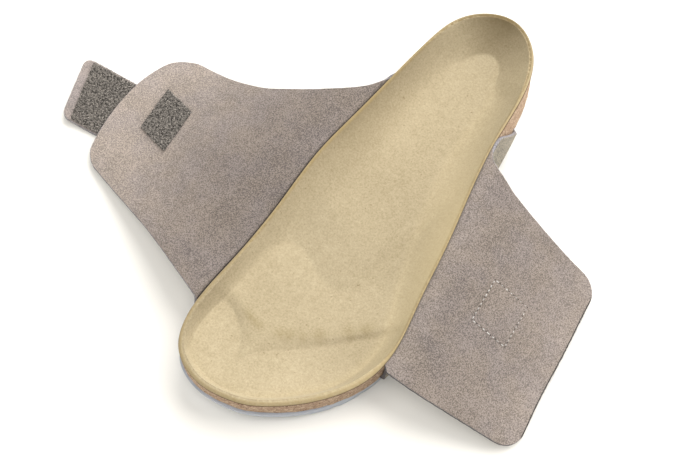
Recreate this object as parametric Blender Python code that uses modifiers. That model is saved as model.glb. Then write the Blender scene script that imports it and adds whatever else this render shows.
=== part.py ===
"""Sandal with two broad suede flaps on a contoured cork footbed, left shoe, flaps laid open.

Sizes are in millimetres and become metres where a mesh is made. +Y runs to the toe, +X to the
inner (big toe) side and +Z up. The origin is on the floor under the middle of the sole.
"""
import bmesh
import bpy
import numpy as np

MM = 0.001
GAP = 0.3
WELD = 0.01
SHARP_ANGLE = 40.0

# Sections across the footbed, from the back of the heel to the tip of the toe.
# "y" is the place along the sole; "medial" and "lateral" are the rim's x on either side and
# "rim" its height there; "wall" is how wide the hollow's side is at the foot of the rim;
# "cork" and "sole" are how far those pieces stand outside the rim at the bottom.
SECTION_COLUMNS = ("y", "medial", "lateral", "rim_medial", "rim_lateral", "wall_medial", "wall_lateral",
                   "cork_medial", "cork_lateral", "sole_medial", "sole_lateral")
SECTIONS = np.array([
    (-141.0, 0.0, 0.0, 41.0, 41.0, 22.0, 22.0, 1.0, 1.0, 1.6, 1.6),
    (-135.0, 17.9, -16.2, 41.0, 41.0, 22.0, 22.0, 1.0, 1.0, 1.6, 1.6),
    (-120.0, 29.3, -26.2, 41.0, 40.8, 21.0, 21.0, 1.0, 1.0, 1.8, 1.8),
    (-98.0, 33.1, -32.7, 40.7, 40.5, 19.0, 19.0, 0.8, 0.8, 2.6, 2.6),
    (-70.0, 34.6, -37.6, 40.4, 40.0, 16.0, 15.0, 0.6, 0.6, 3.4, 3.4),
    (-38.0, 36.0, -45.5, 39.8, 38.6, 14.0, 14.0, 0.6, 0.6, 3.6, 3.6),
    (-5.0, 37.6, -54.8, 38.4, 37.0, 13.0, 14.0, 0.6, 0.6, 3.6, 3.6),
    (28.0, 35.7, -62.4, 34.8, 33.8, 10.0, 12.0, 0.6, 0.4, 3.6, 3.4),
    (60.0, 34.8, -68.6, 30.0, 29.8, 7.0, 8.0, 0.5, 0.0, 3.4, 2.6),
    (88.0, 35.0, -63.7, 28.8, 28.8, 6.0, 6.0, 0.2, -1.0, 2.8, -0.4),
    (112.0, 32.6, -49.5, 28.2, 28.2, 6.0, 4.5, -0.8, -1.8, 0.6, -1.8),
    (129.0, 26.8, -32.2, 27.8, 27.8, 5.0, 4.0, -1.8, -2.2, -1.6, -2.2),
    (137.5, 17.4, -17.3, 27.6, 27.6, 4.0, 4.0, -2.2, -2.3, -2.2, -2.3),
    (141.0, 2.0, 2.0, 27.5, 27.5, 4.0, 4.0, -2.3, -2.3, -2.3, -2.3),
])
SIDE_STEPS = 36
FINE_STEPS = 288
HEEL_CENTRE = (0.0, -104.0)
BALL_CENTRE = (-15.0, 86.0)

# Height of the footbed's floor along the middle, before the step down to the ball.
FLOOR_Y = np.array([-141.0, -110.0, -85.0, -55.0, -20.0, 10.0, 35.0, 70.0])
FLOOR_Z = np.array([26.5, 25.5, 25.5, 27.0, 28.6, 27.4, 25.2, 24.0])
# Forms of the floor. The arches rise towards either side, the pad ends in a step with a round nose,
# the toe bar runs slanting in front of the ball, and a low ridge parts the big toe from the rest.
ARCH = {"rise": 5.0, "y": -12.0, "length": 45.0, "x": -2.0, "width": 32.0}
OUTER_ARCH = {"rise": 2.0, "y": -20.0, "length": 40.0, "x": -10.0, "width": 30.0}
PAD = {"y": 40.0, "slope": 10.0, "nose": 11.0, "nose_x": -14.0, "nose_width": 14.0, "sweep": 34.0,
       "inner_x": 21.0, "inner_width": 12.0, "outer_x": -27.0, "outer_width": 20.0}
TOE_BAR = {"rise": 1.8, "x": -4.0, "y": 91.0, "outer_slant": 0.81, "inner_slant": 0.13,
           "back": 9.0, "front": 8.0}
TOE_RIDGE = {"rise": 1.2, "x": -2.0, "width": 5.0, "end_y": 116.0, "fade": 14.0}
BALL_Z = 21.4
TOE_DROP = 1.5
SPRING_SHARE = 0.7
RIM_LIP = 2.4
WALL_SHARES = (0.0, 0.2, 0.45, 0.7, 1.0)
FLOOR_SHARES = (0.25, 0.5, 0.75, 1.0)
INSOLE_THICK = 1.8

OUTSOLE_THICK = 8.4
TOE_SPRING = 5.5
TOE_SPRING_START = 80.0
SOLE_EDGE_ROUND = 1.4
FLAT_SHARES = (1.0, 0.5, 0.0)
GROOVE_PITCH = 15.0
GROOVE_WIDTH = 4.0
GROOVE_DEPTH = 2.2
GROOVE_LENGTH = 300.0
GROOVE_FIRST = -127.5
GROOVE_LAST = 127.5

LEATHER = 2.0
CORK_CLEARANCE = 0.7
FOLD_RADIUS = 3.2
TUCK = 8.0
TUCK_CORNER = 1.5
CLIMB_SHARES = (0.35, 0.7)
FOLD_ANGLES = (0.0, 22.5, 45.0, 67.5)
FLAP_COLUMNS = 16
FLAP_ROWS = 12
CORNER_ROWS = 4

# Each flap: the y of its two edges, heel side and toe side, at the seam with the outsole, where the
# fold begins, and then at each reach out from the top of the fold. "bulge" and "tilt" shape the
# outer edge, "land" is the reach at which it comes down to the floor, "end" its upper face there.
MEDIAL = {
    "side": 1,
    "seam": (-100.0, 105.0),
    "fold": (-70.0, 103.0),
    "reach": np.array([0.0, 8.0, 20.0, 36.0, 55.0, 80.0, 111.5]),
    "heel_edge": np.array([-59.5, -50.5, -41.2, -31.4, -23.6, -19.0, -17.5]),
    "toe_edge": np.array([101.5, 99.4, 96.0, 91.0, 85.2, 78.6, 70.6]),
    "bulge": 8.5,
    "tilt": 0.0,
    "corners": (16.0, 9.5),
    "fold_drop": 2.4,
    "land": 105.0,
    "end": 3.0,
    "tab_lift": 2.4,
}
LATERAL = {
    "side": -1,
    "seam": (-99.0, 72.0),
    "fold": (-66.5, 71.3),
    "reach": np.array([0.0, 8.0, 20.0, 40.0, 58.0, 70.0, 80.0]),
    "heel_edge": np.array([-63.0, -59.8, -55.9, -52.8, -51.7, -51.8, -52.0]),
    "toe_edge": np.array([71.5, 71.2, 69.9, 66.0, 62.0, 59.5, 57.5]),
    "bulge": -1.5,
    "tilt": 0.035,
    "corners": (13.0, 12.0),
    "fold_drop": 0.4,
    "land": 95.0,
    "end": 2.6,
    "tab_lift": 0.0,
}

PATCH_THICK = 1.6
PATCH_STEPS = 6
MEDIAL_PATCH = {"centre": (129.2, 24.3), "out_edge": (24.1, -5.5), "long_edge": (-4.2, 29.2)}
LATERAL_PATCH = {"centre": (-99.7, 3.8), "out_edge": (-21.8, -2.2), "long_edge": (-4.3, 26.7)}

TAB_END = (188.8, 40.4)
TAB_WIDTH = 40.0
TAB_LENGTH = 66.0
TAB_TURN = 10.5
TAB_SLANT = -0.19
TAB_CORNER = 5.5
TAB_CURL = 3.0
TAB_MARGIN = 5.5
TAB_COLUMNS = 7
TAB_ROWS = 9
TAB_CROSSING_Y = 34.0
TAB_LIFT_HALF = 45.0
TAB_TRIES = 6

SUEDE = (0.36, 0.31, 0.28)
FINISHES = {
    "outsole": ((0.40, 0.45, 0.53), 0.6),
    "cork_midsole": ((0.43, 0.25, 0.15), 0.9),
    "insole": ((0.72, 0.58, 0.35), 0.95),
    "medial_flap": (SUEDE, 0.95),
    "lateral_flap": (SUEDE, 0.95),
    "closing_tab": (SUEDE, 0.95),
    "tab_patch": ((0.11, 0.105, 0.095), 1.0),
    "medial_patch": ((0.11, 0.105, 0.095), 1.0),
    "lateral_patch": ((0.11, 0.105, 0.095), 1.0),
}


def smoothstep(t):
    """Ease from 0 to 1 with level ends."""
    t = np.clip(t, 0.0, 1.0)
    return t * t * (3.0 - 2.0 * t)


def through(x, xs, ys):
    """Smooth curve through a table: cubic pieces whose slopes are the mean of their neighbours'."""
    slope = np.gradient(ys, xs)
    i = np.clip(np.searchsorted(xs, x) - 1, 0, len(xs) - 2)
    step = xs[i + 1] - xs[i]
    t = np.clip((x - xs[i]) / step, 0.0, 1.0)
    start = (1.0 + 2.0 * t) * (1.0 - t) ** 2 * ys[i] + t * (1.0 - t) ** 2 * step * slope[i]
    end = t * t * (3.0 - 2.0 * t) * ys[i + 1] + t * t * (t - 1.0) * step * slope[i + 1]
    return start + end


def closed_spline(points, u):
    """Closed cubic spline with even curvature through points, one unit of u from point to point."""
    count = len(points)
    eye = np.eye(count)
    smooth = 4.0 * eye + np.roll(eye, 1, axis=0) + np.roll(eye, -1, axis=0)
    rise = 3.0 * (np.roll(points, -1, axis=0) - np.roll(points, 1, axis=0))
    slope = np.linalg.solve(smooth, rise)
    i = np.floor(u).astype(int) % count
    j = (i + 1) % count
    t = (u - np.floor(u))[:, None]
    start = (1.0 + 2.0 * t) * (1.0 - t) ** 2 * points[i] + t * (1.0 - t) ** 2 * slope[i]
    end = t * t * (3.0 - 2.0 * t) * points[j] + t * t * (t - 1.0) * slope[j]
    return start + end


def rim_loop(side_steps):
    """The rim, heel to toe on the medial side and back on the lateral side, as named columns."""
    column = dict(zip(SECTION_COLUMNS, SECTIONS.T))
    sides = []
    for side in ("medial", "lateral"):
        names = (side, "y", "rim_" + side, "wall_" + side, "cork_" + side, "sole_" + side)
        sides.append(np.stack([column[name] for name in names], 1))
    knots = np.concatenate([sides[0], sides[1][-2:0:-1]])
    u = np.arange(2 * side_steps) * (len(SECTIONS) - 1) / side_steps
    loop = dict(zip(("x", "y", "rim", "wall", "cork", "sole"), closed_spline(knots, u).T))
    along = np.stack([np.roll(loop[k], -1) - np.roll(loop[k], 1) for k in ("x", "y")], 1)
    along /= np.linalg.norm(along, axis=1)[:, None]
    loop["out"] = np.stack([along[:, 1], -along[:, 0]], 1)
    loop["plan"] = np.stack([loop["x"], loop["y"]], 1)
    share = np.clip((loop["y"] - HEEL_CENTRE[1]) / (BALL_CENTRE[1] - HEEL_CENTRE[1]), 0.0, 1.0)[:, None]
    loop["spine"] = np.array(HEEL_CENTRE) + share * (np.array(BALL_CENTRE) - np.array(HEEL_CENTRE))
    loop["half"] = np.linalg.norm(loop["spine"] - loop["plan"], axis=1)
    return loop


FINE_RIM = rim_loop(FINE_STEPS)


def hump(t):
    """Bell shape, 1 in the middle and about a third at t of 1."""
    return np.exp(-t ** 2)


def floor_height(x, y):
    """Floor of the footbed: heel seat, arches and pad, a step down to the ball, toe bar and toes."""
    inner = hump((y - ARCH["y"]) / ARCH["length"]) * smoothstep((x - ARCH["x"]) / ARCH["width"])
    outer = hump((y - OUTER_ARCH["y"]) / OUTER_ARCH["length"])
    outer = outer * smoothstep((OUTER_ARCH["x"] - x) / OUTER_ARCH["width"])
    pad = through(y, FLOOR_Y, FLOOR_Z) + ARCH["rise"] * inner + OUTER_ARCH["rise"] * outer
    pad_front = PAD["y"] + PAD["nose"] * hump((x - PAD["nose_x"]) / PAD["nose_width"])
    pad_front = pad_front + PAD["sweep"] * smoothstep((x - PAD["inner_x"]) / PAD["inner_width"])
    pad_front = pad_front - PAD["sweep"] * smoothstep((PAD["outer_x"] - x) / PAD["outer_width"])
    bar_y = TOE_BAR["y"] - TOE_BAR["outer_slant"] * np.maximum(TOE_BAR["x"] - x, 0.0)
    bar_y = bar_y - TOE_BAR["inner_slant"] * np.maximum(x - TOE_BAR["x"], 0.0)
    crest = TOE_BAR["rise"] * hump(np.minimum(y - bar_y, 0.0) / TOE_BAR["back"])
    ridge = hump((x - TOE_RIDGE["x"]) / TOE_RIDGE["width"])
    ridge = TOE_RIDGE["rise"] * ridge * smoothstep((TOE_RIDGE["end_y"] - y) / TOE_RIDGE["fade"])
    ball = BALL_Z + SPRING_SHARE * spring(y) + crest
    toes = BALL_Z - TOE_DROP + SPRING_SHARE * spring(y) + ridge
    front = ball + (toes - ball) * smoothstep((y - bar_y) / TOE_BAR["front"])
    return pad + (front - pad) * smoothstep((y - pad_front) / PAD["slope"] + 0.5)


def spring(y):
    """How far the sole curls up off the floor towards the toe."""
    lift = np.clip((y - TOE_SPRING_START) / (SECTIONS[-1, 0] - TOE_SPRING_START), 0.0, None)
    return TOE_SPRING * lift ** 2


def sole_top(y):
    """Height of the joint between outsole and cork."""
    return OUTSOLE_THICK + spring(y)


def inward(loop, distance):
    """Points in plan at a distance inside the rim, towards the middle line of the sole."""
    share = np.minimum(distance / loop["half"], 1.0)[:, None]
    return loop["plan"] + share * (loop["spine"] - loop["plan"])


def ring(plan, z):
    """One ring of a loft: plan points with their heights."""
    return np.column_stack([plan, np.broadcast_to(z, len(plan))])


def footbed_rings(loop):
    """Rings of the footbed's upper face from the rim to the middle line.

    The face is level over the lip, falls as a parabola over the wall's width and ends on the floor.
    """
    foot = RIM_LIP + loop["wall"]
    distances = [np.zeros_like(foot)]
    distances += [RIM_LIP + loop["wall"] * share for share in WALL_SHARES]
    distances += [foot + (loop["half"] - foot) * share for share in FLOOR_SHARES]
    rings = []
    for distance in distances:
        plan = inward(loop, distance)
        floor = floor_height(plan[:, 0], plan[:, 1])
        climb = np.clip(1.0 - (distance - RIM_LIP) / loop["wall"], 0.0, 1.0) ** 2
        rings.append(ring(plan, floor + (loop["rim"] - floor) * climb))
    return rings


def flat_rings(loop, edge, height, shares):
    """Rings of a sole face from its edge towards the middle line, following the toe spring."""
    rings = []
    for share in shares:
        plan = edge + share * (loop["spine"] - edge)
        rings.append(ring(plan, height(plan[:, 1])))
    return rings


def loft(rings):
    """Mesh of quads between closed rings; rings that shrink to the middle line are welded there."""
    size = len(rings[0])
    mesh = bmesh.new()
    rows = [[mesh.verts.new(p * MM) for p in r] for r in rings]
    for low, high in zip(rows, rows[1:]):
        for k in range(size):
            n = (k + 1) % size
            mesh.faces.new((low[k], low[n], high[n], high[k]))
    return welded(mesh)


def sheet(points):
    """Open mesh over a grid of points, facing up when rows go outwards on the medial side."""
    mesh = bmesh.new()
    rows = [[mesh.verts.new(p * MM) for p in row] for row in points]
    for low, high in zip(rows, rows[1:]):
        for k in range(len(low) - 1):
            mesh.faces.new((low[k], high[k], high[k + 1], low[k + 1]))
    return welded(mesh)


def welded(mesh):
    """Merge meeting points, and split quads the same way on every piece so that gaps stay even."""
    bmesh.ops.remove_doubles(mesh, verts=mesh.verts, dist=WELD * MM)
    bmesh.ops.triangulate(mesh, faces=mesh.faces, quad_method="FIXED")
    bmesh.ops.recalc_face_normals(mesh, faces=mesh.faces)
    data = bpy.data.meshes.new("surface")
    mesh.to_mesh(data)
    mesh.free()
    return data


def place(name, data, collection):
    """Make a named object from a mesh, with its own material if it is a piece of the sandal."""
    data.name = name
    piece = bpy.data.objects.new(name, data)
    collection.objects.link(piece)
    if name in FINISHES:
        colour, roughness = FINISHES[name]
        material = bpy.data.materials.new(name)
        material.use_nodes = True
        shader = material.node_tree.nodes["Principled BSDF"]
        shader.inputs["Base Color"].default_value = (*colour, 1.0)
        shader.inputs["Roughness"].default_value = roughness
        shader.inputs["Metallic"].default_value = 0.0
        data.materials.append(material)
        data.shade_smooth()
        data.set_sharp_from_angle(angle=np.radians(SHARP_ANGLE))
    else:
        piece.hide_render = True
        piece.display_type = "WIRE"
    return piece


def thicken(piece, thickness, offset):
    """Give an open surface its wall."""
    wall = piece.modifiers.new("Wall", "SOLIDIFY")
    wall.thickness = thickness * MM
    wall.offset = offset
    return piece


def cut(piece, cutter):
    """Take a cutter's volume out of a piece."""
    tool = piece.modifiers.new("Cut " + cutter.name, "BOOLEAN")
    tool.operation = "DIFFERENCE"
    tool.object = cutter


def under(rings, depth):
    """The same rings moved down along the surface's own normals, for what lies beneath it."""
    data = loft(rings)
    normals = np.empty(len(data.vertices) * 3)
    places = np.empty(len(data.vertices) * 3)
    data.vertex_normals.foreach_get("vector", normals)
    data.vertices.foreach_get("co", places)
    normals = normals.reshape(-1, 3)
    places = places.reshape(-1, 3) / MM
    bpy.data.meshes.remove(data)
    lowered = []
    for points in rings:
        nearest = [np.argmin(((places - p) ** 2).sum(1)) for p in points]
        lowered.append(points - depth * normals[nearest])
    return lowered


def rim_at(flap, y):
    """The rim's x, its height and the cork's foot beside a flap, by place along the sole."""
    pick = slice(0, FINE_STEPS + 1) if flap["side"] > 0 else slice(FINE_STEPS, None)
    side = {name: FINE_RIM[name][pick][::flap["side"]] for name in ("x", "y", "rim", "cork")}
    return [np.interp(y, side["y"], side[name]) for name in ("x", "rim", "cork")]


def flap_height(flap, y, reach, fold_top):
    """Height of the leather's middle: level at the fold, then one S-shaped fall to the floor."""
    lift = flap["tab_lift"] * np.exp(-((y - TAB_CROSSING_Y) / TAB_LIFT_HALF) ** 4)
    end = flap["end"] + lift - LEATHER / 2.0
    return end + (fold_top - end) * (1.0 - smoothstep(reach / flap["land"]))


def fold_line(flap, y):
    """Where the fold stands: its x at zero reach, and the height of the leather's middle on top."""
    x, rim, _ = rim_at(flap, y)
    away = CORK_CLEARANCE + LEATHER / 2.0 + FOLD_RADIUS
    return x + flap["side"] * away, rim - flap["fold_drop"] - LEATHER / 2.0


def on_flap(flap, x, y):
    """Height of the leather's middle over a place in plan."""
    fold_x, fold_top = fold_line(flap, y)
    return flap_height(flap, y, np.maximum(flap["side"] * (x - fold_x), 0.0), fold_top)


def edge_x(flap, reach, y):
    """The x of a line at a reach from the fold; outer lines tilt, and bulge as a parabola."""
    mid = (flap["heel_edge"][-1] + flap["toe_edge"][-1]) / 2.0
    half = (flap["toe_edge"][-1] - flap["heel_edge"][-1]) / 2.0
    place = (y - mid) / half
    share = reach / flap["reach"][-1]
    stretch = flap["bulge"] * share * (1.0 - place ** 2) - flap["tilt"] * reach * place
    return fold_line(flap, y)[0] + flap["side"] * (reach + stretch)


def seam_rows(flap, extra=0.0):
    """Rows of a flap from its tucked margin, up the cork's side and over the first part of the fold."""
    v = np.linspace(0.0, 1.0, FLAP_COLUMNS)
    seam = np.array([flap["seam"][0] - extra, flap["seam"][1] + extra])
    fold = np.array(flap["fold"])
    apex = np.array([flap["heel_edge"][0], flap["toe_edge"][0]])
    rows = []

    def add(edges, cork_share, outset, climb, lift):
        y = edges[0] + v * (edges[1] - edges[0])
        x, rim, cork = rim_at(flap, y)
        foot = sole_top(y) + GAP + LEATHER / 2.0
        top = rim - flap["fold_drop"] - LEATHER / 2.0 - FOLD_RADIUS
        stand = CORK_CLEARANCE + LEATHER / 2.0 + cork_share * cork + outset
        rows.append(np.stack([x + flap["side"] * stand, y, foot + climb * (top - foot) + lift], 1))

    add(seam, 1.0, -TUCK - extra, 0.0, 0.0)
    add(seam, 1.0, -TUCK_CORNER, 0.0, 0.0)
    add(seam, 1.0, 0.0, 0.0, TUCK_CORNER)
    for share in CLIMB_SHARES:
        add(seam + share * (fold - seam), 1.0 - share, 0.0, share, 0.0)
    for angle in np.radians(FOLD_ANGLES):
        bent = np.sin(angle)
        add(fold + bent * (apex - fold), 0.0, FOLD_RADIUS * (1.0 - np.cos(angle)), 1.0, FOLD_RADIUS * bent)
    return rows


def free_rows(flap):
    """Rows of a flap from the top of its fold out to its edge, narrowing over the two round corners."""
    v = np.linspace(0.0, 1.0, FLAP_COLUMNS)
    full = flap["reach"][-1]
    widest = max(flap["corners"])
    corner = full - widest * (1.0 - np.sin(np.linspace(0.0, np.pi / 2.0, CORNER_ROWS + 1)))
    rows = []
    for reach in np.concatenate([np.linspace(0.0, full - widest, FLAP_ROWS, endpoint=False), corner]):
        ends = []
        for radius, table, sign in zip(flap["corners"], ("heel_edge", "toe_edge"), (1.0, -1.0)):
            q = np.clip(1.0 - (full - reach) / radius, 0.0, 1.0)
            ends.append(through(reach, flap["reach"], flap[table]) + sign * radius * (1.0 - np.sqrt(1.0 - q * q)))
        y = ends[0] + v * (ends[1] - ends[0])
        x = edge_x(flap, reach, y)
        rows.append(np.stack([x, y, on_flap(flap, x, y)], 1))
    return rows


def patch_points(flap, patch, lift):
    """Grid over a four-sided patch that follows the flap, lifted off the leather's middle."""
    step = np.linspace(-0.5, 0.5, PATCH_STEPS)
    a, b = np.meshgrid(step, step, indexing="ij")
    x = patch["centre"][0] + a * patch["out_edge"][0] + b * patch["long_edge"][0]
    y = patch["centre"][1] + a * patch["out_edge"][1] + b * patch["long_edge"][1]
    return np.stack([x, y, on_flap(flap, x, y) + lift], 2)


def tab_place(along, across):
    """Plan of a place on the tab, from its end's middle: along its length and across its width."""
    turn = np.radians(TAB_TURN)
    x = TAB_END[0] + along * np.cos(turn) - across * np.sin(turn)
    y = TAB_END[1] + along * np.sin(turn) + across * np.cos(turn)
    return x, y


def tab_showing(across):
    """How much of the tab stands out past the flap's edge, stepped to where the two lines cross."""
    showing = np.zeros_like(across)
    for _ in range(TAB_TRIES):
        x, y = tab_place(TAB_SLANT * across - showing, across)
        showing = showing + x - edge_x(MEDIAL, MEDIAL["reach"][-1], y) - 3.0 * GAP
    return showing


def tab_points(start, stop, lift, corner):
    """Grid over the closing tab between two distances from its end, level across its width."""
    edge = edge_x(MEDIAL, MEDIAL["reach"][-1], np.array(TAB_CROSSING_Y))
    rows = []
    for share in np.linspace(0.0, 1.0, TAB_ROWS):
        left = (1.0 - share) * np.min(start - stop)
        q = np.clip(1.0 - left / corner, 0.0, 1.0) if corner else 0.0
        width = TAB_WIDTH - 2.0 * corner * (1.0 - np.sqrt(1.0 - q * q))
        across = np.linspace(-0.5, 0.5, TAB_COLUMNS) * width
        x, y = tab_place(TAB_SLANT * across - start - share * (stop - start), across)
        under_flap = on_flap(MEDIAL, np.minimum(x, edge), np.full_like(y, TAB_CROSSING_Y))
        curl = TAB_CURL * smoothstep((x - edge) / (TAB_END[0] - edge))
        rows.append(np.stack([x, y, under_flap - LEATHER - 3.0 * GAP + curl + lift], 1))
    return np.array(rows)


def make_outsole(loop, parts, cutters):
    """Outsole: a slab with a rounded lower edge, cut across by grooves that reach its sides."""
    edge = loop["plan"] + loop["out"] * loop["sole"][:, None]
    foot = edge - loop["out"] * SOLE_EDGE_ROUND
    bottom = flat_rings(loop, foot, spring, FLAT_SHARES)
    sides = [ring(edge, spring(edge[:, 1]) + SOLE_EDGE_ROUND), ring(edge, sole_top(edge[:, 1]))]
    top = flat_rings(loop, edge, sole_top, FLAT_SHARES[-2::-1])
    outsole = place("outsole", loft(bottom + sides + top), parts)
    bars = bmesh.new()
    size = np.array([GROOVE_LENGTH, GROOVE_WIDTH, 2.0 * GROOVE_DEPTH])
    for y in np.arange(GROOVE_FIRST, GROOVE_LAST + GAP, GROOVE_PITCH):
        bar = bmesh.ops.create_cube(bars, size=1.0)["verts"]
        bmesh.ops.scale(bars, vec=size * MM, verts=bar)
        bmesh.ops.translate(bars, vec=(0.0, y * MM, spring(y) * MM), verts=bar)
    data = bpy.data.meshes.new("tread_bars")
    bars.to_mesh(data)
    bars.free()
    cut(outsole, place("tread_bars", data, cutters))


def make_footbed(loop, parts, cutters):
    """Cork body under the suede insole, with a rebate in its lower edge for each flap's margin."""
    face = footbed_rings(loop)
    thicken(place("insole", loft(face), parts), INSOLE_THICK, -1.0)
    edge = loop["plan"] + loop["out"] * loop["cork"][:, None]
    bottom = flat_rings(loop, edge, lambda y: sole_top(y) + GAP, FLAT_SHARES)
    top = under(face, INSOLE_THICK + GAP)
    waist = (bottom[-1] + top[0]) / 2.0
    cork = place("cork_midsole", loft(bottom + [waist] + top), parts)
    for flap, name in ((MEDIAL, "medial_rebate"), (LATERAL, "lateral_rebate")):
        inner, outer = seam_rows(flap, extra=2.0 * GAP)[:2]
        outer[:, 0] += flap["side"] * TUCK
        room = thicken(place(name, sheet([inner, outer]), cutters), LEATHER + 3.0 * GAP, 0.0)
        cut(cork, room)


def make_flaps(parts):
    """The two suede flaps, the tab sewn under the medial one, and the hook-and-loop patches."""
    thicken(place("medial_flap", sheet(seam_rows(MEDIAL) + free_rows(MEDIAL)), parts), LEATHER, 0.0)
    thicken(place("lateral_flap", sheet(seam_rows(LATERAL) + free_rows(LATERAL)), parts), LEATHER, 0.0)
    above = LEATHER / 2.0 + 1.5 * GAP + PATCH_THICK / 2.0
    patch = patch_points(MEDIAL, MEDIAL_PATCH, above)
    thicken(place("medial_patch", sheet(patch), parts), PATCH_THICK, 0.0)
    patch = patch_points(LATERAL, LATERAL_PATCH, -above)
    thicken(place("lateral_patch", sheet(patch), parts), PATCH_THICK, 0.0)
    strap = tab_points(TAB_LENGTH, 0.0, 0.0, TAB_CORNER)
    thicken(place("closing_tab", sheet(strap), parts), LEATHER, 0.0)
    showing = tab_showing(np.linspace(-0.5, 0.5, TAB_COLUMNS) * TAB_WIDTH)
    fluff = tab_points(showing, TAB_MARGIN, above, 0.0)
    thicken(place("tab_patch", sheet(fluff), parts), PATCH_THICK, 0.0)


for old in list(bpy.data.objects):
    bpy.data.objects.remove(old, do_unlink=True)
sandal = bpy.data.collections.new("open_flap_sandal")
bpy.context.scene.collection.children.link(sandal)
tools = bpy.data.collections.new("cutters")
bpy.context.scene.collection.children.link(tools)
rim = rim_loop(SIDE_STEPS)
make_outsole(rim, sandal, tools)
make_footbed(rim, sandal, tools)
make_flaps(sandal)
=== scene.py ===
"""Looks of a left sandal on a cork footbed, its two suede flaps laid open.

Lengths are millimetres in the frame's own axes: +Y to the toe, +X to the inner side, +Z up. A mesh
becomes metres when it is made.
"""
from functools import partial

import bmesh
import bpy
import numpy as np
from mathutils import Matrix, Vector


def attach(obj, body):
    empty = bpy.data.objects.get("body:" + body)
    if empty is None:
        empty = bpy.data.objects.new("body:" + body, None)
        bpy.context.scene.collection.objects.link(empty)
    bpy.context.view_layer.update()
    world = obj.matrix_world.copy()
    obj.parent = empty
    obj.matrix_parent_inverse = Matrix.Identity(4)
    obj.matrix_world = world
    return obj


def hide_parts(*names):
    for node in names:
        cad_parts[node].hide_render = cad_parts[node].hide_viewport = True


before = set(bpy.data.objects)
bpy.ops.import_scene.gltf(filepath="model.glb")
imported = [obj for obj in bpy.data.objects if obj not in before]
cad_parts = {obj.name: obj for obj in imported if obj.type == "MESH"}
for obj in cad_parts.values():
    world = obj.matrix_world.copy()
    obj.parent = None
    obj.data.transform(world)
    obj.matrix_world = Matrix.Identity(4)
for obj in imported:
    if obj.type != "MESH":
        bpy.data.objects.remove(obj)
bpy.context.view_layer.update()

# Outsole: a slab of pale blue-grey foamed rubber, moulded with cross grooves and a toe that curls up
# off the floor. It is glued under the cork and stands a little out past the folded flaps.
MM = 0.001
WELD = 0.00002
RIM_COLUMNS = ("y", "medial", "lateral", "rim_medial", "rim_lateral", "wall_medial", "wall_lateral",
               "cork_medial", "cork_lateral", "sole_medial", "sole_lateral")
RIM_SECTIONS = np.array([
    (-142.1, 1.2, 1.2, 41.0, 41.0, 17.6, 17.6, 0.4, 0.4, 0.4, 0.4),
    (-135.6, 17.9, -15.5, 41.0, 41.0, 17.6, 17.6, 0.6, 0.4, 1.0, 0.6),
    (-120.0, 29.3, -27.0, 41.0, 40.8, 17.0, 17.5, 0.8, 0.3, 1.8, -0.6),
    (-98.0, 33.1, -33.0, 40.7, 40.5, 15.5, 17.0, 0.8, 0.8, 2.6, -0.6),
    (-70.0, 34.6, -37.6, 40.4, 40.0, 16.0, 18.5, 0.6, 2.2, 3.4, 1.4),
    (-38.0, 36.0, -45.5, 39.8, 38.6, 19.5, 20.0, 0.6, 0.6, 3.6, 3.2),
    (-5.0, 37.6, -54.8, 38.4, 37.0, 20.0, 19.0, 0.6, 0.6, 3.6, 3.6),
    (28.0, 35.7, -62.4, 34.8, 33.8, 15.5, 14.0, 0.6, 0.4, 3.6, 3.2),
    (60.0, 35.1, -69.4, 30.0, 29.8, 9.0, 8.0, 0.5, -0.5, 3.1, -1.0),
    (88.0, 35.7, -65.3, 28.8, 28.8, 7.0, 5.0, 0.0, -1.7, 2.2, -2.6),
    (112.0, 34.0, -49.9, 28.2, 28.2, 5.0, 4.0, -1.0, -1.0, -0.1, -0.2),
    (128.6, 27.2, -31.9, 27.8, 27.8, 3.6, 3.6, -0.8, -0.7, 0.2, 0.5),
    (136.4, 17.0, -16.8, 27.6, 27.6, 3.4, 3.4, -0.4, -0.4, 0.9, 0.8),
    (139.8, 2.0, 2.0, 27.5, 27.5, 3.4, 3.4, -0.4, -0.4, 0.8, 0.8),
])
SIDE_STEPS = 300
HEEL_CENTRE = np.array([0.0, -104.0])
BALL_CENTRE = np.array([-15.0, 86.0])
OUTSOLE_THICK = 8.4
TOE_SPRING = 5.5
TOE_SPRING_START = 80.0
SOLE_EDGE_ROUND = 1.4
TOE_LEAN = {"inset": 1.7, "y": 92.0, "length": 30.0}
GROOVE_PITCH = 15.0
GROOVE_WIDTH = 4.0
GROOVE_DEPTH = 2.2
GROOVE_FLANK = 1.2
GROOVED_TO = 135.0
UNDER_INSETS = np.linspace(1.0, 0.0, 46)
ROUND_TURNS = np.radians(np.linspace(15.0, 90.0, 5))
SIDE_SHARES = np.linspace(0.3, 1.0, 6)
TOP_INSETS = (0.02, 0.2, 0.5, 1.0)
SHARP_ANGLE = 55.0


def clamp(t):
    """Values kept between 0 and 1."""
    return np.clip(t, 0.0, 1.0)


def smoothstep(t):
    """Ease from 0 to 1 with level ends: three t squared less two t cubed."""
    t = clamp(t)
    return t * t * (3.0 - 2.0 * t)


def eased(value, part, start="y", span="length"):
    """Ease from 0 to 1 over a part's span from its start; a span below zero runs the other way."""
    return smoothstep((value - part[start]) / part[span])


def unit(vectors):
    """Vectors of length 1 in the same directions."""
    return vectors / np.linalg.norm(vectors, axis=-1, keepdims=True)


def cubic(t, start, end, leaving, arriving):
    """Cubic from start to end for t from 0 to 1, with the slopes at which it leaves and arrives."""
    first = (1.0 + 2.0 * t) * (1.0 - t) ** 2 * start + t * (1.0 - t) ** 2 * leaving
    last = t * t * (3.0 - 2.0 * t) * end + t * t * (t - 1.0) * arriving
    return first + last


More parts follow.
